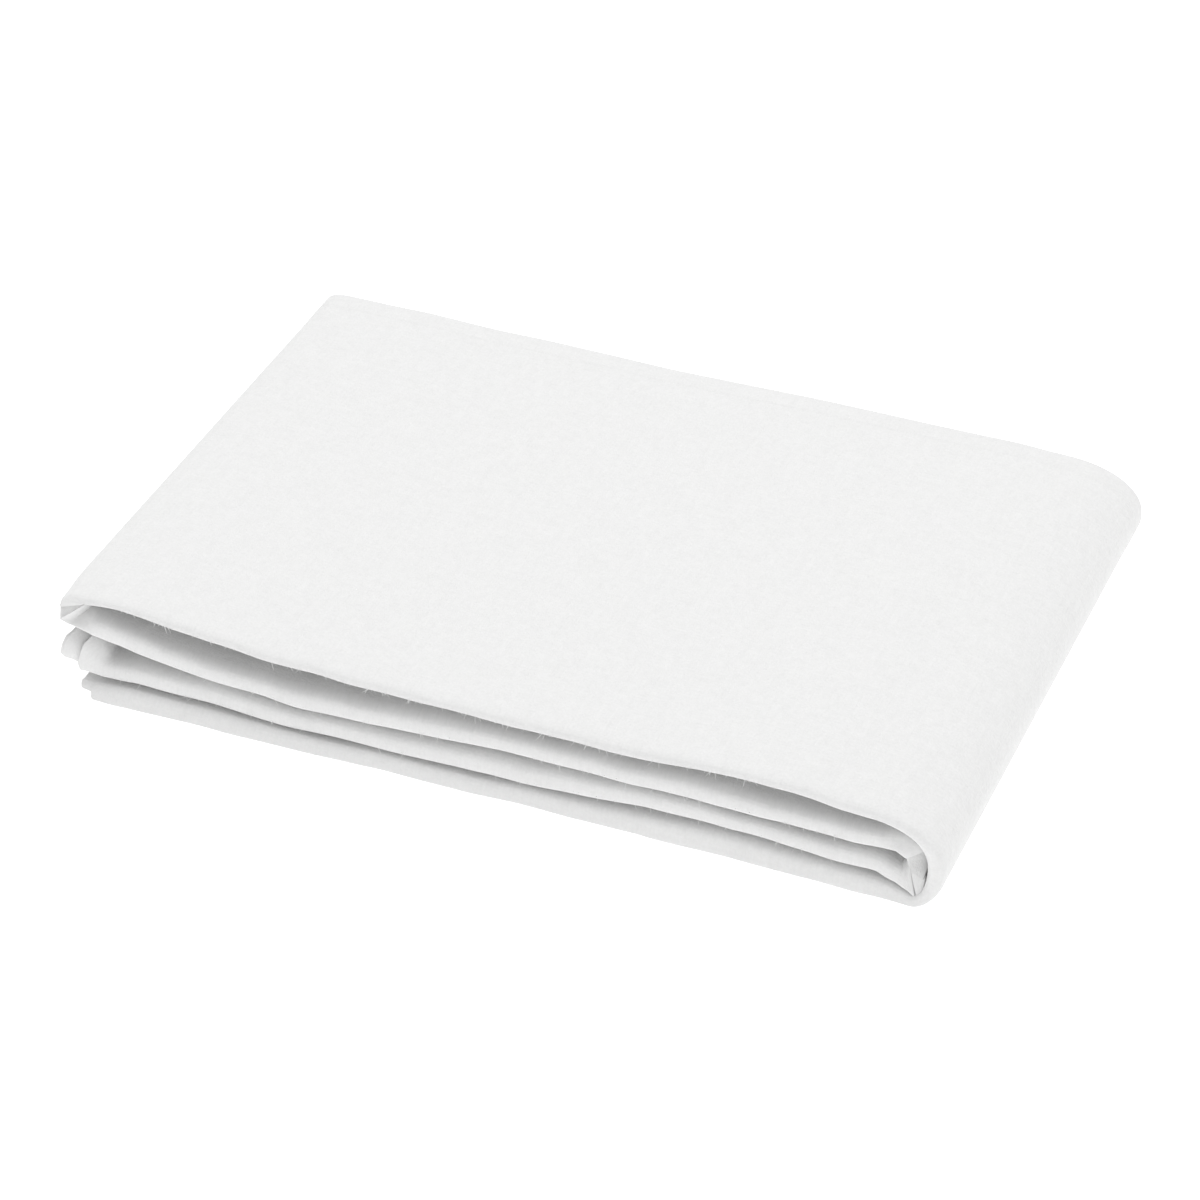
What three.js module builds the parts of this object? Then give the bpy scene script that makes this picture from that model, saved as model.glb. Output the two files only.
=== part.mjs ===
// Folded flat bed sheet, lying flat: millimetres, +Z up, +X along the packet, front edge toward -Y.
// The cloth is gathered lengthwise into a strip that is one hairpin in section: a rounded fold along
// the front edge and two open legs toward the back. The strip is then folded in half twice, which
// stacks four panels. From the bottom they are D, C, B and A. D and A are joined around the right
// end, B and C inside that, and A and B at the left end. C and D end loose at the left.
import * as THREE from 'three';

// The cloth and how often it is folded
const SHEET_WIDTH = 1500;
const SHEET_LENGTH = 2600;
const PANELS_ALONG_WIDTH = 4;
const LAYERS_PER_PANEL = 10;
const PACKET_DEPTH = SHEET_LENGTH / LAYERS_PER_PANEL;
const PANEL_LENGTH = SHEET_WIDTH / PANELS_ALONG_WIDTH;

// One leg of the hairpin stands for half of a panel's pressed layers
const LEG_THICKNESS = 2;
const PANEL_THICKNESS_FRONT = 5;
const PANEL_THICKNESS_BACK = 5.8;

// Where the panels bend and end along the packet, measured from its left fold
const LEFT_BEND_X = 6;
const LOOSE_END_C_X = -1;
const LOOSE_END_D_X = 10;
const RIGHT_BEND_X = 345;
const OUTER_WRAP_REACH = PANEL_LENGTH - PANEL_THICKNESS_FRONT / 2 - RIGHT_BEND_X;
const INNER_WRAP_REACH = OUTER_WRAP_REACH - PANEL_THICKNESS_BACK - 1.2;
const OUTER_WRAP_TIP_HEIGHT = 15;

// How square each bend is: 2 is an ellipse, and more is squarer
const LEFT_BEND_SQUARENESS = 2;
const WRAP_SQUARENESS = 2.7;

// The loose end of C opens out like a mouth, over this length
const MOUTH_LENGTH = 48;
const MOUTH_OPENING_FRONT = 8.5;
const MOUTH_OPENING_BACK = 2.5;

// Height of each panel's middle above the floor, at the front edge and at the back edge.
// D lies flat on the floor and needs no column.
const PANEL_HEIGHTS = [
  { x: LEFT_BEND_X, aFront: 40.1, aBack: 29.8, bFront: 33.7, bBack: 22.4, cFront: 18.4, cBack: 13.2 },
  { x: 22, aFront: 42.4, aBack: 30.6, bFront: 30.4, bBack: 22.4, cFront: 15.6, cBack: 13.0 },
  { x: 50, aFront: 41.8, aBack: 30.4, bFront: 25.9, bBack: 21.8, cFront: 12.6, cBack: 12.6 },
  { x: 95, aFront: 40.6, aBack: 29.9, bFront: 22.4, bBack: 21.2, cFront: 10.9, cBack: 12.2 },
  { x: 150, aFront: 40.3, aBack: 29.9, bFront: 23.8, bBack: 21.4, cFront: 11.8, cBack: 12.2 },
  { x: 200, aFront: 40.4, aBack: 31.0, bFront: 26.2, bBack: 22.0, cFront: 13.2, cBack: 12.6 },
  { x: 250, aFront: 41.2, aBack: 32.2, bFront: 27.4, bBack: 22.8, cFront: 16.4, cBack: 13.0 },
  { x: 300, aFront: 42.6, aBack: 33.1, bFront: 27.0, bBack: 23.2, cFront: 16.9, cBack: 13.2 },
  { x: RIGHT_BEND_X, aFront: 40.0, aBack: 32.8, bFront: 26.6, bBack: 22.8, cFront: 13.6, cBack: 12.4 },
];

// How finely the shape is divided. Each leg depth is a share of the packet's depth.
const LEFT_BEND_STEPS = 8;
const RIGHT_BEND_STEPS = 14;
const NOSE_STEPS = 6;
const LEG_DEPTHS = [1, 0.7, 0.42, 0.2, 0.07];

const COTTON_WHITE = 0xf1f1ef;
const COTTON_ROUGHNESS = 0.95;

const columns = Object.keys(PANEL_HEIGHTS[0]).filter((name) => name !== 'x');
const heightCurve = new THREE.CubicInterpolant(
  PANEL_HEIGHTS.map((row) => row.x),
  PANEL_HEIGHTS.flatMap((row) => columns.map((name) => row[name])),
  columns.length,
);
heightCurve.settings = { endingStart: THREE.ZeroSlopeEnding, endingEnd: THREE.ZeroSlopeEnding };

function thicknessAt(depth) {
  return THREE.MathUtils.lerp(PANEL_THICKNESS_FRONT, PANEL_THICKNESS_BACK, depth);
}

// Height of a panel's middle. Depth is 0 at the front edge and 1 at the back edge.
function panelHeight(panel, x, depth) {
  if (panel === 'd') return thicknessAt(depth) / 2;
  const inside = THREE.MathUtils.clamp(x, LEFT_BEND_X, RIGHT_BEND_X);
  const heights = heightCurve.evaluate(inside);
  const front = heights[columns.indexOf(`${panel}Front`)];
  const back = heights[columns.indexOf(`${panel}Back`)];
  return THREE.MathUtils.lerp(front, back, depth);
}

// A panel as a run of stations between two places along the packet
function panelStations(panel, fromX, toX) {
  const rows = PANEL_HEIGHTS.map((row) => row.x);
  const between = rows.filter((x) => x > Math.min(fromX, toX) && x < Math.max(fromX, toX));
  if (fromX > toX) between.reverse();
  return [fromX, ...between, toX].map((x) => ({
    place: (depth) => new THREE.Vector2(x, panelHeight(panel, x, depth)),
    mouth: panel === 'c' ? THREE.MathUtils.smoothstep(MOUTH_LENGTH - x, 0, MOUTH_LENGTH) : 0,
  }));
}

// A bend from one panel to another: two rounded quarters that meet at the tip
function bendStations(fromPanel, toPanel, x, reach, tipHeight, squareness, steps) {
  const stations = [];
  for (let step = 1; step < steps; step += 1) {
    const angle = Math.PI * (0.5 - step / steps);
    const out = reach * Math.abs(Math.cos(angle)) ** (2 / squareness);
    const rise = Math.abs(Math.sin(angle)) ** (2 / squareness);
    stations.push({
      place: (depth) => {
        const from = panelHeight(fromPanel, x, depth);
        const to = panelHeight(toPanel, x, depth);
        const tip = tipHeight === null ? (from + to) / 2 : tipHeight;
        const end = angle >= 0 ? from : to;
        return new THREE.Vector2(x + out, tip + (end - tip) * rise);
      },
      mouth: 0,
    });
  }
  return stations;
}

function sheetStations() {
  const leftReach = PANEL_THICKNESS_FRONT / 2 - LEFT_BEND_X;
  return [
    ...panelStations('d', LOOSE_END_D_X, RIGHT_BEND_X),
    ...bendStations('d', 'a', RIGHT_BEND_X, OUTER_WRAP_REACH, OUTER_WRAP_TIP_HEIGHT,
      WRAP_SQUARENESS, RIGHT_BEND_STEPS),
    ...panelStations('a', RIGHT_BEND_X, LEFT_BEND_X),
    ...bendStations('a', 'b', LEFT_BEND_X, leftReach, null, LEFT_BEND_SQUARENESS,
      LEFT_BEND_STEPS),
    ...panelStations('b', LEFT_BEND_X, RIGHT_BEND_X),
    ...bendStations('b', 'c', RIGHT_BEND_X, INNER_WRAP_REACH, null, WRAP_SQUARENESS,
      RIGHT_BEND_STEPS),
    ...panelStations('c', RIGHT_BEND_X, LOOSE_END_C_X),
  ];
}

// The hairpin's section: one side of it runs from the back edge of one leg, around the front fold,
// to the back edge of the other. The depth of each point is 0 at the front edge and 1 at the back.
function hairpinSide(inwards, mouth) {
  const halfAt = (depth) => {
    const opening = THREE.MathUtils.lerp(MOUTH_OPENING_FRONT, MOUTH_OPENING_BACK, depth);
    return (thicknessAt(depth) + opening * mouth) / 2;
  };
  const noseCentre = halfAt(0);
  const leg = LEG_DEPTHS.map((depth) => ({ depth, offset: halfAt(depth) - inwards }));
  const nose = [];
  for (let step = 0; step <= NOSE_STEPS; step += 1) {
    const angle = Math.PI * (0.5 - step / NOSE_STEPS);
    const radius = noseCentre - inwards;
    const forward = noseCentre - radius * Math.cos(angle);
    nose.push({ depth: forward / PACKET_DEPTH, offset: radius * Math.sin(angle) });
  }
  const otherLeg = leg.map(({ depth, offset }) => ({ depth, offset: -offset })).reverse();
  return [...leg, ...nose, ...otherLeg];
}

function buildSheet() {
  const stations = sheetStations();
  const positions = [];
  stations.forEach((station, index) => {
    const before = stations[Math.max(index - 1, 0)];
    const after = stations[Math.min(index + 1, stations.length - 1)];
    const outerSide = hairpinSide(0, station.mouth);
    const innerSide = hairpinSide(LEG_THICKNESS, station.mouth).reverse();
    [...outerSide, ...innerSide].forEach(({ depth, offset }) => {
      const along = after.place(depth).sub(before.place(depth)).normalize();
      const middle = station.place(depth);
      positions.push(
        middle.x + offset * along.y,
        depth * PACKET_DEPTH,
        middle.y - offset * along.x,
      );
    });
  });

  const ring = positions.length / 3 / stations.length;
  const indices = [];
  const quad = (a, b, c, d) => indices.push(a, d, c, a, c, b);
  for (let station = 0; station < stations.length - 1; station += 1) {
    for (let point = 0; point < ring; point += 1) {
      const next = (point + 1) % ring;
      const here = station * ring;
      const there = here + ring;
      quad(here + point, here + next, there + next, there + point);
    }
  }
  const last = (stations.length - 1) * ring;
  for (let point = 0; point < ring / 2 - 1; point += 1) {
    const across = ring - 1 - point;
    quad(point, across, across - 1, point + 1);
    quad(last + point, last + point + 1, last + across - 1, last + across);
  }

  const geometry = new THREE.BufferGeometry();
  geometry.setAttribute('position', new THREE.Float32BufferAttribute(positions, 3));
  geometry.setIndex(indices);
  geometry.computeBoundingBox();
  const centre = geometry.boundingBox.getCenter(new THREE.Vector3());
  geometry.translate(-centre.x, -centre.y, 0);
  geometry.computeVertexNormals();
  const cotton = new THREE.MeshStandardMaterial({
    color: COTTON_WHITE, roughness: COTTON_ROUGHNESS, metalness: 0,
  });
  const mesh = new THREE.Mesh(geometry, cotton);
  mesh.name = 'sheet';
  return mesh;
}

const foldedSheet = new THREE.Group();
foldedSheet.add(buildSheet());

export default foldedSheet;
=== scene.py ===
import math
import random
from collections import namedtuple

import bpy
import numpy as np
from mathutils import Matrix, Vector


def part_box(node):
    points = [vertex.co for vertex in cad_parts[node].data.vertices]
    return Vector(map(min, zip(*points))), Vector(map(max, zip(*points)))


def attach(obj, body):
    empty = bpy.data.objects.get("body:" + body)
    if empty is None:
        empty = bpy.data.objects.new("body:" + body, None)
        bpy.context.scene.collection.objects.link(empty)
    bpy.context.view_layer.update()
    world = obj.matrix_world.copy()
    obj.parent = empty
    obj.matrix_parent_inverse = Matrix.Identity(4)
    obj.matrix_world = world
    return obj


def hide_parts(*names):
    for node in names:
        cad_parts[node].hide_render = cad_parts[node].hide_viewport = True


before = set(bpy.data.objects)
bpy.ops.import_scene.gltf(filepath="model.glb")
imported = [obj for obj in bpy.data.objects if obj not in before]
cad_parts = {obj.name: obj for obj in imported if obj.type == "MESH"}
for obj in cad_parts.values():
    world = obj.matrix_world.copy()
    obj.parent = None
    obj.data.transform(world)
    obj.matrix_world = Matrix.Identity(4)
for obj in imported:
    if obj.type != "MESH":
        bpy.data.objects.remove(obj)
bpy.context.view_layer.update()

# Shapes are worked out in millimetres, with x from the packet's left fold, y from its front edge
# and z from the floor. They become metres in the frame when a mesh is written.
MM = 0.001
LEFT_FOLD_INSET = 1
packet_origin = np.array(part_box("sheet")[0]) + (LEFT_FOLD_INSET * MM, 0, 0)

# The cloth as it is cut and sewn
SHEET_WIDTH = 1500
SHEET_LENGTH = 2600
CLOTH_THICKNESS = 0.4
HEM_THICKNESS = 0.9
HEM_WIDTH = 13
THREAD_PITCH = 0.42
STITCH_LENGTH = 2.8
STITCH_INSET = 1.5
LAYERS_PER_PANEL = 10
PACKET_DEPTH = SHEET_LENGTH / LAYERS_PER_PANEL

# A panel's ten layers nest as five loops, from the outermost to the innermost. Each loop closes in
# a nose at the front edge. The nose leans back, so that its lower corner is foremost and sharpest,
# and its upper corner is rounded more, to a depth given at places along each panel. Thick panels
# have fuller noses, and a nose that stands out leans back more.
LOOPS_PER_PANEL = LAYERS_PER_PANEL // 2
LOOP_SPACING_FRONT = 0.46
LOOP_SPACING_BACK = 0.74
NOSE_DEPTH_BELOW = 1.2
NOSE_DEPTHS_ABOVE = {"a": [(0, 6.6)], "b": [(0, 5.2)], "c": [(40, 6), (90, 3.8)], "d": [(0, 3.0)]}
NOSE_SQUARENESS = 2.9
NOSE_SQUARENESS_LEAN = 0.4
NOSE_LEAN = 1.0
NOSE_LEAN_PER_STANDING_OUT = 0.35
NOSE_STEPS_OUTER = 16
NOSE_STEPS_INNER = 6
FULL_THICKNESS = 7
FULLEST = 1.3
THICKNESS_BACK = 7
PANEL_STEP = 4

# Sections of each panel along the packet: the height of its lower face at the front edge, its
# thickness there, how far its front fold stands back (or out, below 0), and the height of its
# lower face at the back edge
Section = namedtuple("Section", "x low thick setback back_low")
PANELS = {
    "a": [
        Section(14, 44.2, 3.8, 0.8, 26.8),
        Section(20, 44.0, 3.8, 1.8, 26.8),
        Section(26, 43.9, 3.8, 2.2, 26.8),
        Section(32, 43.3, 4.0, 2.2, 26.8),
        Section(46, 41.9, 4.4, 1.8, 27.1),
        Section(60, 40.9, 4.6, 1.4, 27.0),
        Section(80, 39.8, 4.6, 0.9, 27.0),
        Section(100, 38.6, 4.6, 0.5, 27.5),
        Section(130, 37.9, 4.7, 0.5, 27.0),
        Section(160, 37.9, 4.8, 0.5, 26.7),
        Section(190, 37.5, 4.8, 0.5, 27.9),
        Section(220, 37.5, 4.8, 0.5, 28.8),
        Section(250, 37.8, 4.8, 0.5, 29.2),
        Section(275, 39.2, 4.8, 0.5, 29.6),
        Section(300, 40.8, 4.8, 0.5, 29.9),
        Section(320, 39.8, 5.0, 0.5, 30.1),
        Section(338, 37.6, 5.2, 0.5, 29.5),
    ],
    "b": [
        Section(14, 29.0, 8.6, 0.5, 18.6),
        Section(22, 27.4, 7.6, 0.5, 18.2),
        Section(32, 25.8, 7.4, 0.5, 18.0),
        Section(45, 23.9, 7.3, 0.5, 17.9),
        Section(60, 21.8, 7.7, 0.5, 17.8),
        Section(80, 20.3, 8.1, 0.5, 17.6),
        Section(100, 18.9, 8.3, 0.5, 17.4),
        Section(130, 19.9, 8.1, 0.5, 17.3),
        Section(160, 21.4, 8.1, 0.5, 17.3),
        Section(190, 23.4, 7.9, 0.5, 17.8),
        Section(220, 23.6, 7.9, 0.5, 18.2),
        Section(250, 24.2, 7.7, 0.5, 18.7),
        Section(275, 24.6, 7.7, 0.5, 19.1),
        Section(300, 23.9, 7.7, 0.5, 19.4),
        Section(320, 23.2, 7.7, 0.5, 19.6),
        Section(338, 23.6, 7.5, 0.5, 19.5),
        Section(350, 24.6, 6.9, 0.5, 19.3),
    ],
    "c": [
        Section(0, 7.8, 18.6, 0.5, 9.2),
        Section(5, 8.0, 15.6, 0.5, 9.0),
        Section(10, 8.1, 9.5, 0.5, 9.0),
        Section(15, 8.4, 8.0, 0.5, 9.0),
        Section(24, 8.9, 7.5, 0.5, 8.9),
        Section(32, 9.7, 8.0, 0.5, 8.8),
        Section(45, 9.4, 8.4, 0.5, 8.7),
        Section(60, 9.0, 8.6, 0.5, 8.7),
        Section(80, 8.6, 8.1, 0.5, 8.6),
        Section(100, 8.0, 7.8, 0.5, 8.6),
        Section(130, 8.6, 8.0, 0.5, 8.6),
        Section(160, 9.1, 8.6, 0.5, 8.6),
        Section(190, 9.8, 9.2, 0.5, 8.8),
        Section(220, 10.9, 8.6, 0.5, 9.0),
        Section(250, 13.6, 7.2, 0.5, 9.2),
        Section(275, 14.2, 7.0, 0.5, 9.4),
        Section(300, 14.2, 6.7, 0.5, 9.6),
        Section(320, 12.9, 6.9, 0.5, 9.7),
        Section(340, 12.1, 7.2, 0.5, 9.6),
        Section(348, 11.9, 7.0, 0.5, 9.5),
        Section(357, 8.4, 7.4, 0.5, 9.4),
    ],
    "d": [
        Section(8, 0, 5.4, -4.8, 0),
        Section(30, 0, 6.5, -5.0, 0),
        Section(57, 0, 6.5, -4.4, 0),
        Section(84, 0, 6.1, -3.9, 0),
        Section(110, 0, 5.7, -3.0, 0),
        Section(136, 0, 6.3, -2.3, 0),
        Section(162, 0, 6.7, -1.9, 0),
        Section(200, 0, 7.4, -1.0, 0),
        Section(240, 0, 9.0, -0.8, 0),
        Section(275, 0, 10.4, -0.5, 0),
        Section(300, 0, 10.2, -0.6, 0),
        Section(320, 0, 9.1, -0.7, 0),
        Section(345, 0, 8.5, -0.7, 0),
        Section(356, 0, 6.6, -0.7, 0),
        Section(362, 0, 4.7, -0.7, 0),
    ],
}

# Each bend joins two panels through a tip. It is two rounded quarters, and a squareness of 2 is
# an ellipse while more is squarer. Its thicknesses are evenly spaced between the two panels. Its
# front fold passes through one setback on the way from one panel's to the other's.
Bend = namedtuple(
    "Bend",
    "from_x to_x tip_x_front tip_x_back tip_z_front tip_z_back from_squareness to_squareness thick",
)
OUTER_WRAP = Bend(362, 338, 371.8, 371.0, 18.5, 13.0, 2.1, 2.4, (4.8, 7.2, 7.2, 4.8))
LEFT_FOLD = Bend(14, 14, 0.9, 2.4, 38.2, 26.3, 3.4, 3.4, (5.2,))
INNER_WRAP = Bend(350, 357, 364.4, 364.6, 17.0, 17.6, 2.6, 2.2, (8.0,))
BEND_STEPS = 30
BEND_SETBACK = 0.5
BEND_SETBACK_PLACE = 0.35

# The front of a tight bend is pressed into flat facets, which fan out from a point on its inner
# side. Each spoke joins that point to the outer side, and back is how far each end is set back.
Spoke = namedtuple("Spoke", "step inner_x inner_z inner_back outer_x outer_z outer_back")
LEFT_FAN = [
    Spoke(0, 14, 44.2, 0, 14, 48.0, 1.0),
    Spoke(6, 12.6, 44.5, 0, 4.5, 46.3, 1.0),
    Spoke(10, 12.0, 44.6, 0, 0.6, 43.4, 0.5),
    Spoke(12, 11.8, 44.6, 0, -0.3, 39.9, 0),
    Spoke(13, 11.0, 43.2, 2.4, -3.0, 35.4, 5.4),
    Spoke(20, 10.8, 42.6, 2.2, -1.7, 32.2, 1.9),
    Spoke(21, 11.0, 43.0, 1.6, -0.8, 32.9, 0.1),
    Spoke(22, 10.4, 40.9, 4.0, -0.1, 32.6, 0),
    Spoke(24, 11.0, 37.6, 8.6, 2.4, 31.7, 0),
    Spoke(27, 12.4, 37.2, 6.0, 7.4, 30.6, 0),
    Spoke(30, 14, 37.4, 2.4, 14, 29.0, 0),
]
INNER_FAN = [
    Spoke(0, 350, 24.6, 0, 350, 31.5, 2.4),
    Spoke(4, 355.7, 24.9, 0, 358.5, 31.0, 3.4),
    Spoke(9, 359.7, 22.6, 0, 367.0, 27.2, 2.4),
    Spoke(10, 359.8, 22.4, 0.6, 367.9, 26.6, 9.5),
    Spoke(13, 360.4, 21.0, 0.3, 367.3, 17.6, 5.5),
    Spoke(15, 360.8, 19.9, 0, 366.6, 13.6, 0.2),
    Spoke(16, 360.9, 19.6, 2.2, 367.0, 12.6, 2.4),
    Spoke(19, 361.1, 19.5, 1.4, 366.6, 5.6, 1.4),
    Spoke(20, 361.2, 19.4, 0.9, 365.1, 4.0, 0.3),
    Spoke(21, 360.6, 19.2, 4.6, 364.5, 3.9, 3.0),
    Spoke(22, 360.0, 19.2, 3.6, 363.9, 4.3, 0.1),
    Spoke(25, 359.4, 17.8, 3.8, 361.4, 6.0, 0),
    Spoke(30, 357, 15.9, 1.6, 357, 8.4, 0),
]
# The nose grows shallow over the first steps of a tight bend, and deep again over the last
SHALLOWING_STEPS = (0, 5)
DEEPENING_STEPS = (BEND_STEPS - 8, BEND_STEPS - 3)
FAN_NOSE_DEPTH = 0.9
# How far back from the front edge the facets are whole, and where they have faded out
PRESSED_TO = 7
FADED_BY = 22

# Uneven lines: a seed, the shortest and longest wave or straight piece, and a height
Uneven = namedtuple("Uneven", "seed shortest longest height")
RIPPLE_WAVES = 6
FAINTEST_WAVE = 0.4
THICKNESS_RIPPLE = Uneven(15, 40, 130, 0.05)
HEIGHT_RIPPLE = Uneven(13, 24, 60, 0.1)
HEIGHT_KINKS = Uneven(14, 9, 26, 0.42)
LIP_RIPPLE = Uneven(11, 34, 120, 0.2)
LIP_KINKS = Uneven(12, 6, 15, 0.32)
BACK_EDGE_RIPPLE = Uneven(20, 70, 260, 0.7)

# The loose ends of C and D: where each loop ends, how much sooner its outer side ends and its
# corners, how far the inner loops stand back and are lifted there, how far along the panel this
# reaches, and how uneven the ends are
Loose = namedtuple("Loose", "nominal_x loop_ends lean corner inner_setback inner_lift length ripple")
LOOSE_ENDS = {
    "c": Loose(0, (7.1, -0.9, -2.2, -1.8, -1.2), 0.7, 1.8, 1.4, 2.6, 44, Uneven(31, 60, 200, 0.5)),
    "d": Loose(8, (13.4, 7.0, 7.6, 7.2, 8.2), 0.2, 1.0, 3.6, 0.6, 30, Uneven(32, 60, 200, 0.5)),
}
CORNER_START = 0.5

# Where each back edge stops short of the packet's depth. Two layers share a back fold.
BACK_SETBACKS = {"hem_top": 1.0, "1-2": 4.0, "3-4": 2.2, "hem_inner": 5.0, "6-7": 3.0, "8-9": 1.6}

# The upper face isn't quite flat. It swells in two slanting directions, its back edge is pressed
# down, and its front lip is rounded down a little. On the bends it fades out with the cloth's
# slope, and is whole where the cloth faces this much up.
SWELL_LENGTHWISE = Uneven(41, 60, 170, 0.16)
SWELL_LENGTHWISE_SLANT = 0.35
SWELL_CROSSWISE = Uneven(42, 50, 150, 0.16)
SWELL_CROSSWISE_SLANT = -0.2
SWELL_START = 30
BACK_EDGE_DROP = 1.3
BACK_EDGE_WIDTH = 20
LIP_DROP = 0.5
LIP_FROM, LIP_TO = 1, 16
FACING_UP = 0.9

# Loose ends of yarn, with how many each panel has, away from its own ends. Most are short. Each
# starts a little way inside the fold, goes a way within these limits, curls within these limits and
# tapers.
FIBRE_COUNTS = {"a": 210, "b": 150, "c": 110}
FIBRE_SEED = 5
FIBRE_RADIUS = 0.13
FIBRE_STEPS = 4
FIBRE_SHORT = (0.5, 1.1)
FIBRE_LONG = (1.1, 2.8)
FIBRE_SHORT_SHARE = 0.7
FIBRE_WAY = ((-0.8, 0.8), (-0.7, -0.2), (-1, -0.2))
FIBRE_CURL = ((-1, 1), (-0.3, 0.3), (-1, 1))
FIBRE_CURL_SHARE = 0.45
FIBRE_ROOT = 0.3
FIBRE_TAPER = 0.6
BARE_STATIONS_FIRST, BARE_STATIONS_LAST = 6, 4

# Patterns on the cloth: the size of their lumps across and along the flat sheet, and their detail
Lumps = namedtuple("Lumps", "across along detail")
CLOTH_LUMPS = {
    "warp": Lumps(0.7, 16, 2),
    "weft": Lumps(13, 0.7, 2),
    "mottle": Lumps(3.2, 3.6, 3),
    "pucker": Lumps(9, 12, 2),
    "grain": Lumps(1.1, 1.1, 1),
    "swell": Lumps(46, 60, 1),
}
# How strongly each pattern lightens or darkens the cloth's colour, and how high it stands in millimetres
CLOTH_SHADES = {
    "warp": 0.26, "weft": 0.22, "mottle": 0.45, "grain": 0.5, "pucker": 0.22, "weave": 0.12,
    # The groove beside the stitches is painted darker: painted shade in the groove
    "stitch": 0.25, "groove_and_painted_shade": -0.2,
}
CLOTH_HEIGHTS = {
    "weave": 0.012, "warp": 0.024, "weft": 0.018, "grain": 0.036, "mottle": 0.06, "pucker": 0.1,
    "swell": 0.3, "stitch": 0.08, "groove_and_painted_shade": -0.06,
}
# How far from its middle a stitch, its seam and its groove are whole, and where they end. A stitch
# is measured along the hem, in stitch lengths.
SEAM_EDGES = (0.1, 0.4)
# The groove band both dips and is painted darker, as painted shade in it
GROOVE_EDGES = (0.3, 1.6)
STITCH_EDGES = (0.3, 0.42)
STITCH_MIDDLE = 0.5
COTTON_DULL = (0.705, 0.705, 0.703, 1)
COTTON_BRIGHT = (0.775, 0.775, 0.773, 1)
COTTON_ROUGHNESS = (0.97, 0.87)
FIBRE_DULL = (0.82, 0.82, 0.815, 1)
FIBRE_BRIGHT = (0.9, 0.9, 0.895, 1)
FIBRE_ROUGHNESS = (0.7, 0.9)
FIBRE_SPOTS_PER_METRE = 900
CREASE_ANGLE = 50

# Camera, as the photograph was taken
CAMERA_AZIMUTH = 22.2
CAMERA_ELEVATION = 37.2
CAMERA_DISTANCE = 2.002
CAMERA_TARGET = (179.2, 135.0, 0)
CAMERA_LENS = 144.5
CAMERA_SENSOR = 36

# Studio, in metres
FLOOR_SIZE = 8
FLOOR_WHITE = (0.8, 0.8, 0.8, 1)
FLOOR_GLOW = 0.66
WORLD_LIGHT = 0.7
LAMP_PLACE = (0.0, 0.25, 2.3)
LAMP_WIDTH = 1.8
LAMP_POWER = 30


def smooth_through(xs, zs, at):
    """A smooth curve through the points of a table, level before its first and after its last."""
    xs, zs = np.array(xs, float), np.array(zs, float)
    slopes = np.gradient(zs, xs)
    slopes[0] = slopes[-1] = 0
    at = np.clip(at, xs[0], xs[-1])
    row = np.clip(np.searchsorted(xs, at) - 1, 0, len(xs) - 2)
    span = xs[row + 1] - xs[row]
    t = (at - xs[row]) / span
    start = (1 + 2 * t) * (1 - t) ** 2 * zs[row] + t * (1 - t) ** 2 * span * slopes[row]
    end = t * t * (3 - 2 * t) * zs[row + 1] + t * t * (t - 1) * span * slopes[row + 1]
    return start + end


def smoothstep(low, high, value):
    t = np.clip((value - low) / (high - low), 0, 1)
    return t * t * (3 - 2 * t)


def ripple(at, uneven):
    """An irregular wavy line: a few waves of mixed lengths, the same on every run."""
    dice = random.Random(uneven.seed)
    total = np.zeros_like(np.asarray(at, float))
    for _ in range(RIPPLE_WAVES):
        length = dice.uniform(uneven.shortest, uneven.longest)
        total += np.sin(2 * math.pi * (at / length + dice.random())) * dice.uniform(FAINTEST_WAVE, 1)
    return uneven.height * total / math.sqrt(RIPPLE_WAVES)


def kinks(at, uneven):
    """An irregular line with small corners: straight from one random height to the next."""
    dice = random.Random(uneven.seed)
    places = [float(np.min(at))]
    while places[-1] < np.max(at):
        places.append(places[-1] + dice.uniform(uneven.shortest, uneven.longest))
    return np.interp(at, places, [dice.uniform(-uneven.height, uneven.height) for _ in places])


def panel_column(panel, column, x):
    """One column of a panel's sections, at places between them."""
    rows = PANELS[panel]
    return smooth_through([r.x for r in rows], [getattr(r, column) for r in rows], x)


def panel_middle(panel, end, x):
    """Height of the middle of a panel's thickness at its front or back end."""
    if end == "front":
        return panel_column(panel, "low", x) + panel_column(panel, "thick", x) / 2
    return panel_column(panel, "back_low", x) + THICKNESS_BACK / 2


def depth_above(panel, x):
    """How deep the rounding of a panel's upper front corner is."""
    return np.interp(x, *zip(*NOSE_DEPTHS_ABOVE[panel]))


def panel_run(panel, from_x, to_x):
    """Stations along a flat panel, as front and back points of its middle line."""
    count = round(abs(to_x - from_x) / PANEL_STEP) + 1
    x = np.linspace(from_x, to_x, count)
    return {
        "name": np.full(count, panel),
        "front": np.stack([x, panel_middle(panel, "front", x)], 1),
        "back": np.stack([x, panel_middle(panel, "back", x)], 1),
        "thick": panel_column(panel, "thick", x),
        "setback": panel_column(panel, "setback", x),
        "depth_above": depth_above(panel, x),
    }


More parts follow.
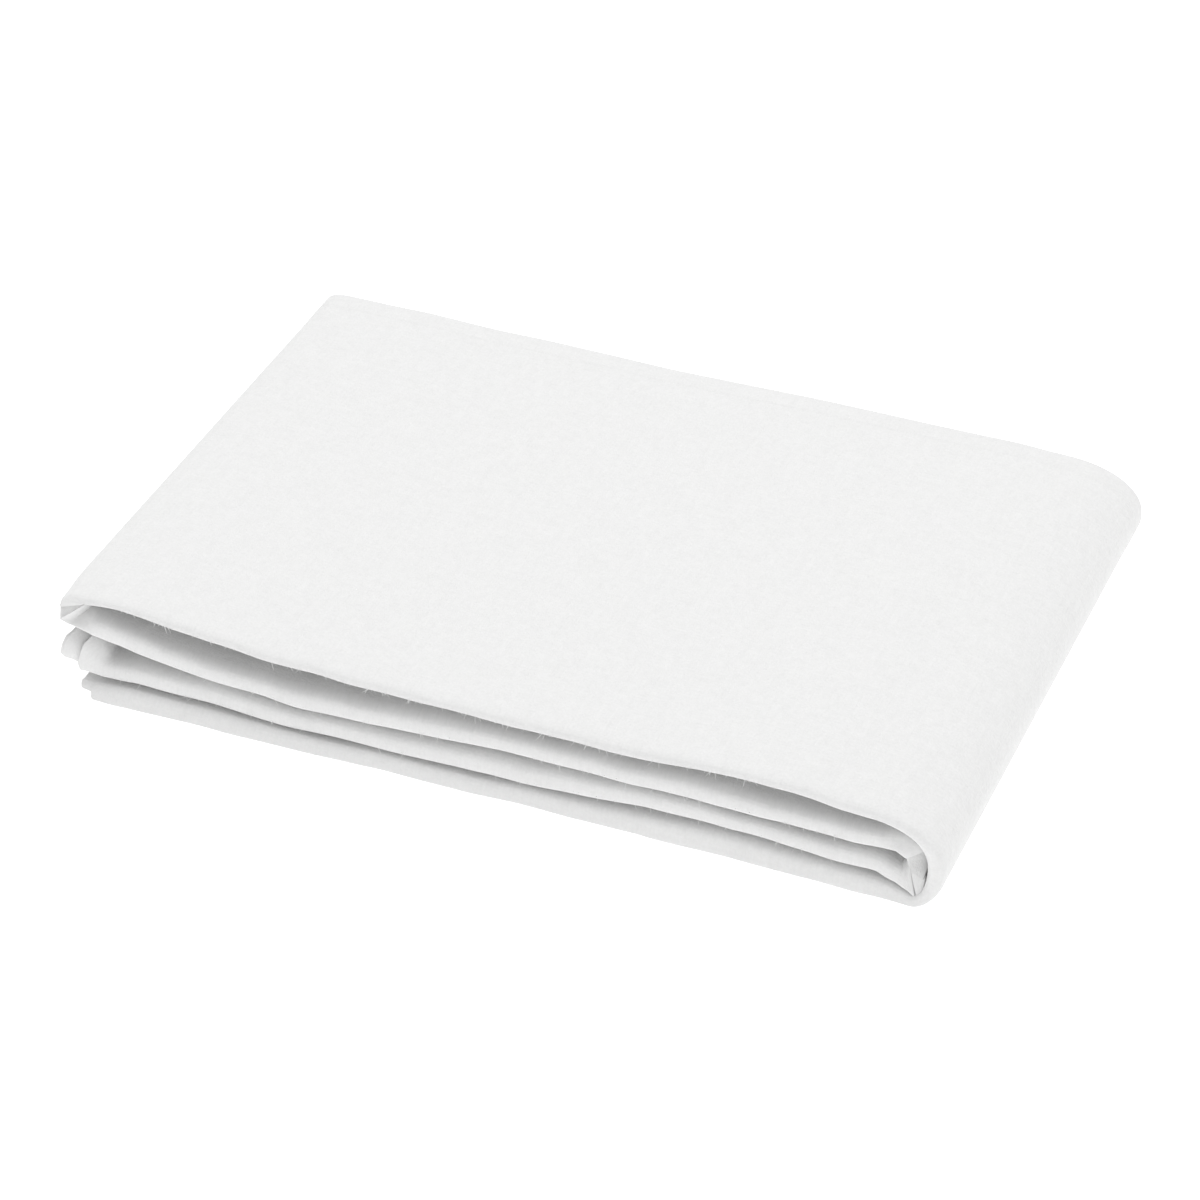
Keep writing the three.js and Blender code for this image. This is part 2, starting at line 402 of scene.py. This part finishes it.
def bend_run(name, from_panel, to_panel, bend):
    """Stations around a bend, without the two that its panels already have."""
    part = np.linspace(0, 1, BEND_STEPS + 1)[1:-1]
    angle = math.pi * (0.5 - part)
    first = angle >= 0
    square = np.where(first, bend.from_squareness, bend.to_squareness)
    out = np.cos(angle) ** (2 / square)
    rise = np.abs(np.sin(angle)) ** (2 / square)
    start_x = np.where(first, bend.from_x, bend.to_x)
    run = {"name": np.full(len(part), name)}
    for end in ("front", "back"):
        tip_x = getattr(bend, f"tip_x_{end}")
        tip_z = getattr(bend, f"tip_z_{end}")
        from_z = panel_middle(from_panel, end, bend.from_x)
        to_z = panel_middle(to_panel, end, bend.to_x)
        start_z = np.where(first, from_z, to_z)
        x = start_x + (tip_x - start_x) * out
        z = tip_z + (start_z - tip_z) * rise
        run[end] = np.stack([x, z], 1)
    from_thick = panel_column(from_panel, "thick", bend.from_x)
    to_thick = panel_column(to_panel, "thick", bend.to_x)
    thicks = [from_thick, *bend.thick, to_thick]
    run["thick"] = smooth_through(np.linspace(0, 1, len(thicks)), thicks, part)
    depths = [depth_above(from_panel, bend.from_x), depth_above(to_panel, bend.to_x)]
    run["depth_above"] = np.interp(part, [0, 1], depths)
    from_setback = panel_column(from_panel, "setback", bend.from_x)
    to_setback = panel_column(to_panel, "setback", bend.to_x)
    setbacks = [from_setback, BEND_SETBACK, to_setback]
    run["setback"] = smooth_through([0, BEND_SETBACK_PLACE, 1], setbacks, part)
    return run


def strip_path():
    """The strip's middle line through the four panels, from D's loose end to C's."""
    runs = [
        panel_run("d", LOOSE_ENDS["d"].nominal_x, OUTER_WRAP.from_x),
        bend_run("outer_wrap", "d", "a", OUTER_WRAP),
        panel_run("a", OUTER_WRAP.to_x, LEFT_FOLD.from_x),
        bend_run("left_fold", "a", "b", LEFT_FOLD),
        panel_run("b", LEFT_FOLD.to_x, INNER_WRAP.from_x),
        bend_run("inner_wrap", "b", "c", INNER_WRAP),
        panel_run("c", INNER_WRAP.to_x, LOOSE_ENDS["c"].nominal_x),
    ]
    return {key: np.concatenate([run[key] for run in runs]) for key in runs[0]}


def uneven_path():
    """The strip's path with the small unevenness of real cloth, and its directions."""
    path = strip_path()
    walk = np.linalg.norm(np.diff(path["front"], axis=0), axis=1)
    travelled = np.concatenate([[0], np.cumsum(walk)])
    wavy = np.isin(path["name"], ["a", "b", "c"])
    path["travelled"] = travelled
    path["thick"] = path["thick"] * (1 + wavy * ripple(travelled, THICKNESS_RIPPLE))
    rise = ripple(travelled, HEIGHT_RIPPLE) + kinks(travelled, HEIGHT_KINKS)
    path["front"] = path["front"] + np.stack([0 * travelled, rise * wavy], 1)

    # The strip's direction at the front and at the back, and whether its outer side faces up (1)
    # or down (-1)
    path["tangent_front"] = tangent = np.gradient(path["front"], axis=0)
    path["tangent_back"] = np.gradient(path["back"], axis=0)
    path["facing"] = -tangent[:, :1] / np.linalg.norm(tangent, axis=1, keepdims=True)
    path["fullness"] = np.minimum(path["thick"] / FULL_THICKNESS, FULLEST)[:, None]
    return path


Sample = namedtuple("Sample", "loop swing forward along bulge edge")


def leg(loop, side, along, edge):
    """Samples of one flat layer, at shares of the way from its front fold to its back edge."""
    return [Sample(loop, side, 0, t, 0, edge) for t in along]


def layer_samples():
    """The folds along the sheet's length, from its top hem to its inner hem.

    The sheet is pleated in fifths and folded in half, so that its layers nest as five loops, which
    close at the front. Loop is which of them a sample is on, swing runs from 1 on the outer side
    to -1 on the inner side, forward is how far it is around the front fold, along is its place
    from there to the back edge, bulge is how far it is around a back fold, and edge names that
    back edge.
    """
    fine = [0, 0.012, 0.03, 0.055, 0.09, 0.14, 0.22, 0.34, 0.5, 0.66, 0.8, 0.9, 0.95, 0.98, 1]
    middling = [0, 0.02, 0.05, 0.1, 0.2, 0.45, 0.75, 1]
    coarse = [0, 0.08, 0.5, 1]
    inner_edges = ["8-9", "1-2", "6-7", "3-4"]
    samples = leg(0, 1, fine[::-1], "hem_top")
    side = 1
    for loop in range(LOOPS_PER_PANEL):
        steps = NOSE_STEPS_OUTER if loop == 0 else NOSE_STEPS_INNER
        for step in range(1, steps):
            angle = math.pi * (0.5 - step / steps)
            samples.append(Sample(loop, side * math.sin(angle), math.cos(angle), 0, 0, ""))
        side = -side
        last = loop == LOOPS_PER_PANEL - 1
        edge = "hem_inner" if last else inner_edges[loop]
        away = fine if last else middling if loop == 0 else coarse
        samples += leg(loop, side, away, edge)
        if last:
            break
        for step in (0.25, 0.5, 0.75):
            bulge = math.sin(math.pi * step)
            samples.append(Sample(loop + step, side, 0, 1, bulge, edge))
        samples += leg(loop + 1, side, coarse[::-1], edge)
    return Sample(*(np.array(column)[None, :] for column in zip(*samples)))


def in_hem(along):
    """Whether a place along the flat sheet is in one of its two hems."""
    return (along < HEM_WIDTH) | (along > SHEET_LENGTH - HEM_WIDTH)


def is_inner(layer):
    """Whether a sample is on the inner loops, from half way round the back fold that leads there."""
    return layer.loop > 0.5


Fan = namedtuple("Fan", "on_bend shallow outward spoke")


def pressed_fans(name):
    """The two fans, each with its spoke at every station: straight from one to the next."""
    fans = []
    for bend, spokes, outward in (("left_fold", LEFT_FAN, 1), ("inner_wrap", INNER_FAN, -1)):
        on_bend = name == bend
        step = np.cumsum(on_bend)
        columns = [np.interp(step, [spoke.step for spoke in spokes], c) for c in zip(*spokes)]
        spoke = Spoke(*((column * on_bend)[:, None] for column in columns))
        step_on_bend = step * on_bend
        shallow = smoothstep(*SHALLOWING_STEPS, step_on_bend)
        shallow = shallow * (1 - smoothstep(*DEEPENING_STEPS, step_on_bend))
        fans.append(Fan(on_bend[:, None], shallow[:, None], outward, spoke))
    return fans


def near_loose_end(path, panel, loose):
    """1 at a panel's loose end, falling to 0 as far along as its shape reaches."""
    near = 1 - smoothstep(loose.nominal_x, loose.nominal_x + loose.length, path["front"][:, 0])
    return np.where(path["name"] == panel, near, 0)[:, None]


def back_edges(path, layer):
    """How far back each layer reaches. The folds and the hems don't line up."""
    reach = np.full((len(path["name"]), layer.edge.size), PACKET_DEPTH)
    for index, edge in enumerate(BACK_SETBACKS):
        uneven = BACK_EDGE_RIPPLE._replace(seed=BACK_EDGE_RIPPLE.seed + index)
        edge_reach = PACKET_DEPTH - BACK_SETBACKS[edge] + ripple(path["travelled"], uneven)
        reach[:, layer.edge[0] == edge] = edge_reach[:, None]
    return reach


def place_across_depth(path, layer, fans, loose_ends):
    """How far back each point is, and its height in its loop: 1 on the outer side, -1 inside."""
    facing, fullness, travelled = path["facing"], path["fullness"], path["travelled"]
    under_side = -facing * np.sign(layer.swing)
    squareness = NOSE_SQUARENESS + NOSE_SQUARENESS_LEAN * under_side
    around = layer.forward ** (2 / squareness)
    height = np.sign(layer.swing) * np.abs(layer.swing) ** (2 / squareness)
    depth_range = path["depth_above"][:, None] - NOSE_DEPTH_BELOW
    nose_depth = (NOSE_DEPTH_BELOW + depth_range * (1 - under_side) / 2) * fullness

    wander = ripple(travelled, LIP_RIPPLE) + kinks(travelled, LIP_KINKS)
    standing_back = (path["setback"] + wander)[:, None] + layer.loop * LOOP_SPACING_FRONT
    for loose, near in loose_ends:
        standing_back = standing_back + near ** 3 * loose.inner_setback * is_inner(layer)

    standing_out = NOSE_LEAN_PER_STANDING_OUT * np.maximum(0, -path["setback"])[:, None]
    leaning = (NOSE_LEAN * fullness + standing_out) * (1 + facing * height) / 2
    half_front = (path["thick"][:, None] - CLOTH_THICKNESS) / 2
    for fan in fans:
        share_in = 1 - layer.loop * LOOP_SPACING_FRONT / half_front
        share_out = (1 + fan.outward * height * share_in) / 2
        fan_lean = fan.spoke.inner_back + share_out * (fan.spoke.outer_back - fan.spoke.inner_back)
        leaning = np.where(fan.on_bend, fan_lean, leaning)
        nose_depth = nose_depth + (FAN_NOSE_DEPTH - nose_depth) * fan.shallow

    start = standing_back + nose_depth + leaning
    y = start - nose_depth * around + (back_edges(path, layer) - start) * layer.along
    return y, height


def end_at_loose_ends(x, y, z, height, facing, layer, loose_ends, at_front):
    """Each loop ends at its own place at a loose end."""
    for loose, near in loose_ends:
        ends = np.interp(layer.loop, range(LOOPS_PER_PANEL), loose.loop_ends) + loose.lean * height
        ends = ends + loose.corner * smoothstep(CORNER_START, 1, np.abs(height))
        x = x + near ** 2 * (ends + ripple(y, loose.ripple) - loose.nominal_x)
        lower = (1 - height * facing) / 2
        z = z + near ** 3 * loose.inner_lift * lower * is_inner(layer) * at_front
    return x, z


def shape_upper_face(x, y, z, height, path):
    """The upper face's swell, its pressed back edge and its rounded front lip."""
    uppermost = np.isin(path["name"], ["a", "left_fold", "outer_wrap"])[:, None]
    on_top = uppermost * smoothstep(0, FACING_UP, path["facing"])
    swell = ripple(x + SWELL_LENGTHWISE_SLANT * y, SWELL_LENGTHWISE)
    swell = swell + ripple(y + SWELL_CROSSWISE_SLANT * x, SWELL_CROSSWISE)
    z = z + on_top * smoothstep(0, SWELL_START, y) * swell
    z = z - BACK_EDGE_DROP * smoothstep(PACKET_DEPTH - BACK_EDGE_WIDTH, PACKET_DEPTH, y) * on_top
    return z - LIP_DROP * (1 - smoothstep(LIP_FROM, LIP_TO, y)) * (1 + height) / 2 * on_top


def flat_places_along(y, offset):
    """The samples' places along the flat sheet, by their spacing a quarter along the strip."""
    station = len(y) // 4
    steps = np.hypot(np.diff(y[station]), np.diff(offset[station]))
    along = np.concatenate([[0], np.cumsum(steps)])
    return along / along[-1] * SHEET_LENGTH


def fold_sheet():
    """Folds the flat sheet: a point in space for each station along the strip and each sample."""
    path = uneven_path()
    front, back = path["front"], path["back"]
    layer = layer_samples()
    fans = pressed_fans(path["name"])
    loose_ends = [(loose, near_loose_end(path, panel, loose)) for panel, loose in LOOSE_ENDS.items()]

    y, height = place_across_depth(path, layer, fans, loose_ends)
    depth = np.clip(y / PACKET_DEPTH, 0, 1)
    spacing = LOOP_SPACING_FRONT + (LOOP_SPACING_BACK - LOOP_SPACING_FRONT) * depth
    y = y + layer.bulge * spacing / 2

    # Place across the panel's thickness
    half_front = (path["thick"][:, None] - CLOTH_THICKNESS) / 2
    half_back = (THICKNESS_BACK - CLOTH_THICKNESS) / 2
    half = half_front + (half_back - half_front) * depth
    offset = height * (half - layer.loop * spacing)

    # Along the strip's middle line, and out from it by the offset
    middle = front[:, None, :] + (back - front)[:, None, :] * depth[:, :, None]
    turn = path["tangent_back"] - path["tangent_front"]
    tangent = path["tangent_front"][:, None, :] + turn[:, None, :] * depth[:, :, None]
    tangent = tangent / np.linalg.norm(tangent, axis=2, keepdims=True)
    x = middle[:, :, 0] + offset * tangent[:, :, 1]
    z = middle[:, :, 1] - offset * tangent[:, :, 0]

    at_front = 1 - smoothstep(PRESSED_TO, FADED_BY, y)
    for fan in fans:
        spoke = fan.spoke
        share_out = (1 + fan.outward * offset / half) / 2
        pressed = np.where(fan.on_bend, at_front, 0)
        x = x + (spoke.inner_x + share_out * (spoke.outer_x - spoke.inner_x) - x) * pressed
        z = z + (spoke.inner_z + share_out * (spoke.outer_z - spoke.inner_z) - z) * pressed

    x, z = end_at_loose_ends(x, y, z, height, path["facing"], layer, loose_ends, at_front)
    z = shape_upper_face(x, y, z, height, path)

    flat_across = path["travelled"] / path["travelled"][-1] * SHEET_WIDTH
    flat_along = flat_places_along(y, offset)
    cloth = np.where(in_hem(flat_along), HEM_THICKNESS, CLOTH_THICKNESS)
    z = np.maximum(z, cloth / 2)
    return np.stack([x, y, z], 2), flat_across, flat_along


def to_frame(points):
    """Moves points from the packet's millimetres to the frame's metres."""
    return np.asarray(points) * MM + packet_origin


def deselect_all():
    bpy.ops.object.select_all(action="DESELECT")


def make_sheet():
    points, across, along = fold_sheet()
    rows, columns = points.shape[:2]
    deselect_all()
    bpy.ops.mesh.primitive_grid_add(x_subdivisions=rows - 1, y_subdivisions=columns - 1, size=1)
    sheet = bpy.context.object
    sheet.name = "cotton_sheet"
    mesh = sheet.data
    flat = np.empty(len(mesh.vertices) * 3)
    mesh.vertices.foreach_get("co", flat)
    flat = flat.reshape(-1, 3)
    row = np.rint((flat[:, 0] + 0.5) * (rows - 1)).astype(int)
    column = np.rint((flat[:, 1] + 0.5) * (columns - 1)).astype(int)

    corner_vertex = np.empty(len(mesh.loops), int)
    mesh.loops.foreach_get("vertex_index", corner_vertex)
    uv = np.stack([across[row], along[column]], 1)[corner_vertex] * MM
    mesh.uv_layers[0].data.foreach_set("uv", uv.ravel())
    mesh.vertices.foreach_set("co", to_frame(points[row, column]).ravel())

    hem = sheet.vertex_groups.new(name="hem")
    hem.add(np.nonzero(in_hem(along[column]))[0].tolist(), 1, "REPLACE")

    solidify = sheet.modifiers.new("thickness", "SOLIDIFY")
    solidify.thickness = HEM_THICKNESS * MM
    solidify.thickness_vertex_group = CLOTH_THICKNESS / HEM_THICKNESS
    solidify.vertex_group = hem.name
    solidify.offset = 0
    bpy.ops.object.modifier_apply(modifier=solidify.name)
    bpy.ops.object.shade_smooth_by_angle(angle=math.radians(CREASE_ANGLE))
    return sheet, points


def fibre_line(points, row, dice):
    """One loose end of yarn: the points along it, from inside the foremost edge of the fold."""
    foremost = int(np.argmin(points[row, :, 1]))
    here, next_place = points[row, foremost], points[row + 1, foremost]
    root = here + (next_place - here) * dice.random()
    length = dice.uniform(*(FIBRE_SHORT if dice.random() < FIBRE_SHORT_SHARE else FIBRE_LONG))
    way = np.array([dice.uniform(*limits) for limits in FIBRE_WAY])
    curl = np.array([dice.uniform(*limits) for limits in FIBRE_CURL])
    way = way / np.linalg.norm(way)
    root = root - way * FIBRE_ROOT
    shares = [step / FIBRE_STEPS for step in range(FIBRE_STEPS + 1)]
    return [
        (root + (way * share + curl * FIBRE_CURL_SHARE * share * share) * (length + FIBRE_ROOT), share)
        for share in shares
    ]


def make_fibres(points):
    """Loose ends of yarn along the front folds, which catch the light against the gaps."""
    dice = random.Random(FIBRE_SEED)
    name = strip_path()["name"]
    deselect_all()
    bpy.ops.curve.primitive_nurbs_path_add()
    fibres = bpy.context.object
    fibres.name = "loose_fibres"
    curve = fibres.data
    curve.splines.clear()
    curve.bevel_depth = FIBRE_RADIUS * MM
    curve.bevel_resolution = 0
    curve.use_fill_caps = True
    for panel, count in FIBRE_COUNTS.items():
        rows = np.nonzero(name == panel)[0][BARE_STATIONS_FIRST:-BARE_STATIONS_LAST]
        for _ in range(count):
            line = fibre_line(points, dice.choice(rows), dice)
            spline = curve.splines.new("POLY")
            spline.points.add(FIBRE_STEPS)
            for point, (place, share) in zip(spline.points, line):
                point.co = (*to_frame(place), 1)
                point.radius = 1 - FIBRE_TAPER * share
    bpy.ops.object.convert(target="MESH")
    fibres = bpy.context.object
    bpy.ops.object.origin_set(type="ORIGIN_GEOMETRY")
    bpy.ops.object.transform_apply(location=True, rotation=True, scale=True)
    bpy.ops.object.shade_smooth()
    return fibres


class Finish:
    """A new material, whose patterns are built one small node at a time."""

    def __init__(self, name):
        self.material = bpy.data.materials.new(name)
        self.material.use_nodes = True
        self.nodes = self.material.node_tree.nodes
        self.links = self.material.node_tree.links
        self.shader = self.nodes["Principled BSDF"]

    def feed(self, node, values):
        for index, value in enumerate(values):
            if isinstance(value, (int, float)):
                node.inputs[index].default_value = value
            else:
                self.links.new(value, node.inputs[index])

    def math(self, operation, *values):
        node = self.nodes.new("ShaderNodeMath")
        node.operation = operation
        self.feed(node, values)
        return node.outputs[0]

    def noise(self, x, y, detail):
        """Soft noise between about -1 and 1, whose lumps are one unit across."""
        place = self.nodes.new("ShaderNodeCombineXYZ")
        self.feed(place, (x, y))
        node = self.nodes.new("ShaderNodeTexNoise")
        node.inputs["Scale"].default_value = 1
        node.inputs["Detail"].default_value = detail
        self.links.new(place.outputs[0], node.inputs["Vector"])
        return self.math("MULTIPLY_ADD", node.outputs["Fac"], 4, -2)

    def within(self, value, centre, inner, outer):
        """1 where value is within inner of the centre, falling to 0 at outer."""
        distance = self.math("ABSOLUTE", self.math("SUBTRACT", value, centre))
        node = self.nodes.new("ShaderNodeMapRange")
        node.interpolation_type = "SMOOTHSTEP"
        self.feed(node, (distance, inner, outer, 1, 0))
        return node.outputs[0]

    def moved(self, value, low, high, to_low, to_high):
        """The value moved from one range to another."""
        node = self.nodes.new("ShaderNodeMapRange")
        self.feed(node, (value, low, high, to_low, to_high))
        return node.outputs[0]

    def between(self, share, dull, bright):
        """A colour between two others."""
        node = self.nodes.new("ShaderNodeMix")
        node.data_type = "RGBA"
        self.links.new(share, node.inputs["Factor"])
        node.inputs["A"].default_value = dull
        node.inputs["B"].default_value = bright
        return node.outputs["Result"]

    def blend(self, strengths, patterns):
        """Adds up the patterns, each by its strength."""
        total = 0
        for name, strength in strengths.items():
            total = self.math("MULTIPLY_ADD", patterns[name], strength, total)
        return total


def cotton_patterns(finish):
    """The cloth's weave, uneven yarn, wash marks, hem stitches and the painted shade in the groove
    beside them, by flat cloth position.
    """
    flat = finish.nodes.new("ShaderNodeUVMap")
    flat.uv_map = "UVMap"
    split = finish.nodes.new("ShaderNodeSeparateXYZ")
    finish.links.new(flat.outputs[0], split.inputs[0])
    across = finish.math("MULTIPLY", split.outputs["X"], 1 / MM)
    along = finish.math("MULTIPLY", split.outputs["Y"], 1 / MM)

    # Over and under threads
    turn = math.pi / THREAD_PITCH
    over = finish.math("SINE", finish.math("MULTIPLY", across, turn))
    under = finish.math("SINE", finish.math("MULTIPLY", along, turn))
    patterns = {"weave": finish.math("MULTIPLY", over, under)}

    # Thick and thin places in the yarn, both ways, and the unevenness of washed cloth
    for name, lumps in CLOTH_LUMPS.items():
        x = finish.math("MULTIPLY", across, 1 / lumps.across)
        y = finish.math("MULTIPLY", along, 1 / lumps.along)
        patterns[name] = finish.noise(x, y, lumps.detail)

    # One row of stitches along each hem, with a groove beside it that dips and is painted darker as
    # painted shade
    to_hem = finish.math("PINGPONG", along, SHEET_LENGTH / 2)
    seam = finish.within(to_hem, HEM_WIDTH - STITCH_INSET, *SEAM_EDGES)
    patterns["groove_and_painted_shade"] = finish.within(to_hem, HEM_WIDTH - STITCH_INSET, *GROOVE_EDGES)
    step = finish.math("FRACT", finish.math("DIVIDE", across, STITCH_LENGTH))
    patterns["stitch"] = finish.math("MULTIPLY", seam, finish.within(step, STITCH_MIDDLE, *STITCH_EDGES))
    return patterns


def cotton_material():
    """White plain-weave cotton. The pattern follows the flat cloth, in millimetres."""
    finish = Finish("white_cotton")
    patterns = cotton_patterns(finish)
    # Colour from the patterns, with painted shade darkening the groove beside the hem stitches
    shade = finish.blend(CLOTH_SHADES, patterns)
    colour = finish.between(finish.moved(shade, -1, 1, 0, 1), COTTON_DULL, COTTON_BRIGHT)
    roughness = finish.moved(shade, -1, 1, *COTTON_ROUGHNESS)

    bump = finish.nodes.new("ShaderNodeBump")
    bump.inputs["Strength"].default_value = 1
    bump.inputs["Distance"].default_value = MM
    finish.links.new(finish.blend(CLOTH_HEIGHTS, patterns), bump.inputs["Height"])

    shader = finish.shader
    finish.links.new(colour, shader.inputs["Base Color"])
    finish.links.new(roughness, shader.inputs["Roughness"])
    finish.links.new(bump.outputs[0], shader.inputs["Normal"])
    shader.inputs["Specular IOR Level"].default_value = 0.2
    shader.inputs["Sheen Weight"].default_value = 0.08
    shader.inputs["Sheen Roughness"].default_value = 0.5
    return finish.material


def fibre_material():
    """Bare cotton yarn, a little uneven in tone."""
    finish = Finish("cotton_fibre")
    place = finish.nodes.new("ShaderNodeTexCoord")
    spots = finish.nodes.new("ShaderNodeTexNoise")
    spots.inputs["Scale"].default_value = FIBRE_SPOTS_PER_METRE
    finish.links.new(place.outputs["Object"], spots.inputs["Vector"])
    colour = finish.between(spots.outputs["Fac"], FIBRE_DULL, FIBRE_BRIGHT)
    roughness = finish.moved(spots.outputs["Fac"], 0, 1, *FIBRE_ROUGHNESS)
    finish.links.new(colour, finish.shader.inputs["Base Color"])
    finish.links.new(roughness, finish.shader.inputs["Roughness"])
    finish.shader.inputs["Specular IOR Level"].default_value = 0.3
    return finish.material


def make_floor():
    deselect_all()
    bpy.ops.mesh.primitive_plane_add(size=FLOOR_SIZE)
    floor = bpy.context.object
    floor.name = "studio_floor"
    finish = Finish("floor_white")
    shader = finish.shader
    shader.inputs["Base Color"].default_value = FLOOR_WHITE
    shader.inputs["Emission Color"].default_value = (1, 1, 1, 1)
    shader.inputs["Emission Strength"].default_value = FLOOR_GLOW
    shader.inputs["Roughness"].default_value = 1
    shader.inputs["Specular IOR Level"].default_value = 0
    floor.data.materials.append(finish.material)


def make_lights():
    world = bpy.data.worlds.new("studio")
    bpy.context.scene.world = world
    world.use_nodes = True
    world.node_tree.nodes["Background"].inputs["Color"].default_value = (1, 1, 1, 1)
    world.node_tree.nodes["Background"].inputs["Strength"].default_value = WORLD_LIGHT
    bpy.ops.object.light_add(type="AREA", location=LAMP_PLACE)
    lamp = bpy.context.object
    lamp.data.shape = "DISK"
    lamp.data.size = LAMP_WIDTH
    lamp.data.energy = LAMP_POWER
    aim = -lamp.location
    lamp.rotation_euler = aim.to_track_quat("-Z", "Y").to_euler()


def make_camera():
    azimuth, elevation = math.radians(CAMERA_AZIMUTH), math.radians(CAMERA_ELEVATION)
    target = to_frame(CAMERA_TARGET)
    toward_camera = np.array([
        math.sin(azimuth) * math.cos(elevation),
        -math.cos(azimuth) * math.cos(elevation),
        math.sin(elevation),
    ])
    bpy.ops.object.camera_add(
        location=target + toward_camera * CAMERA_DISTANCE,
        rotation=(math.pi / 2 - elevation, 0, azimuth),
    )
    camera = bpy.context.object
    camera.data.lens = CAMERA_LENS
    camera.data.sensor_width = CAMERA_SENSOR
    camera.data.clip_end = 50
    bpy.context.scene.camera = camera


def set_view():
    view = bpy.context.scene.view_settings
    view.view_transform = "Standard"
    view.look = "None"
    view.exposure = 0


make_camera()
sheet, sheet_points = make_sheet()
sheet.data.materials.append(cotton_material())
fibres = make_fibres(sheet_points)
fibres.data.materials.append(fibre_material())
for piece in (sheet, fibres):
    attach(piece, "root")
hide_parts("sheet")
make_floor()
make_lights()
set_view()
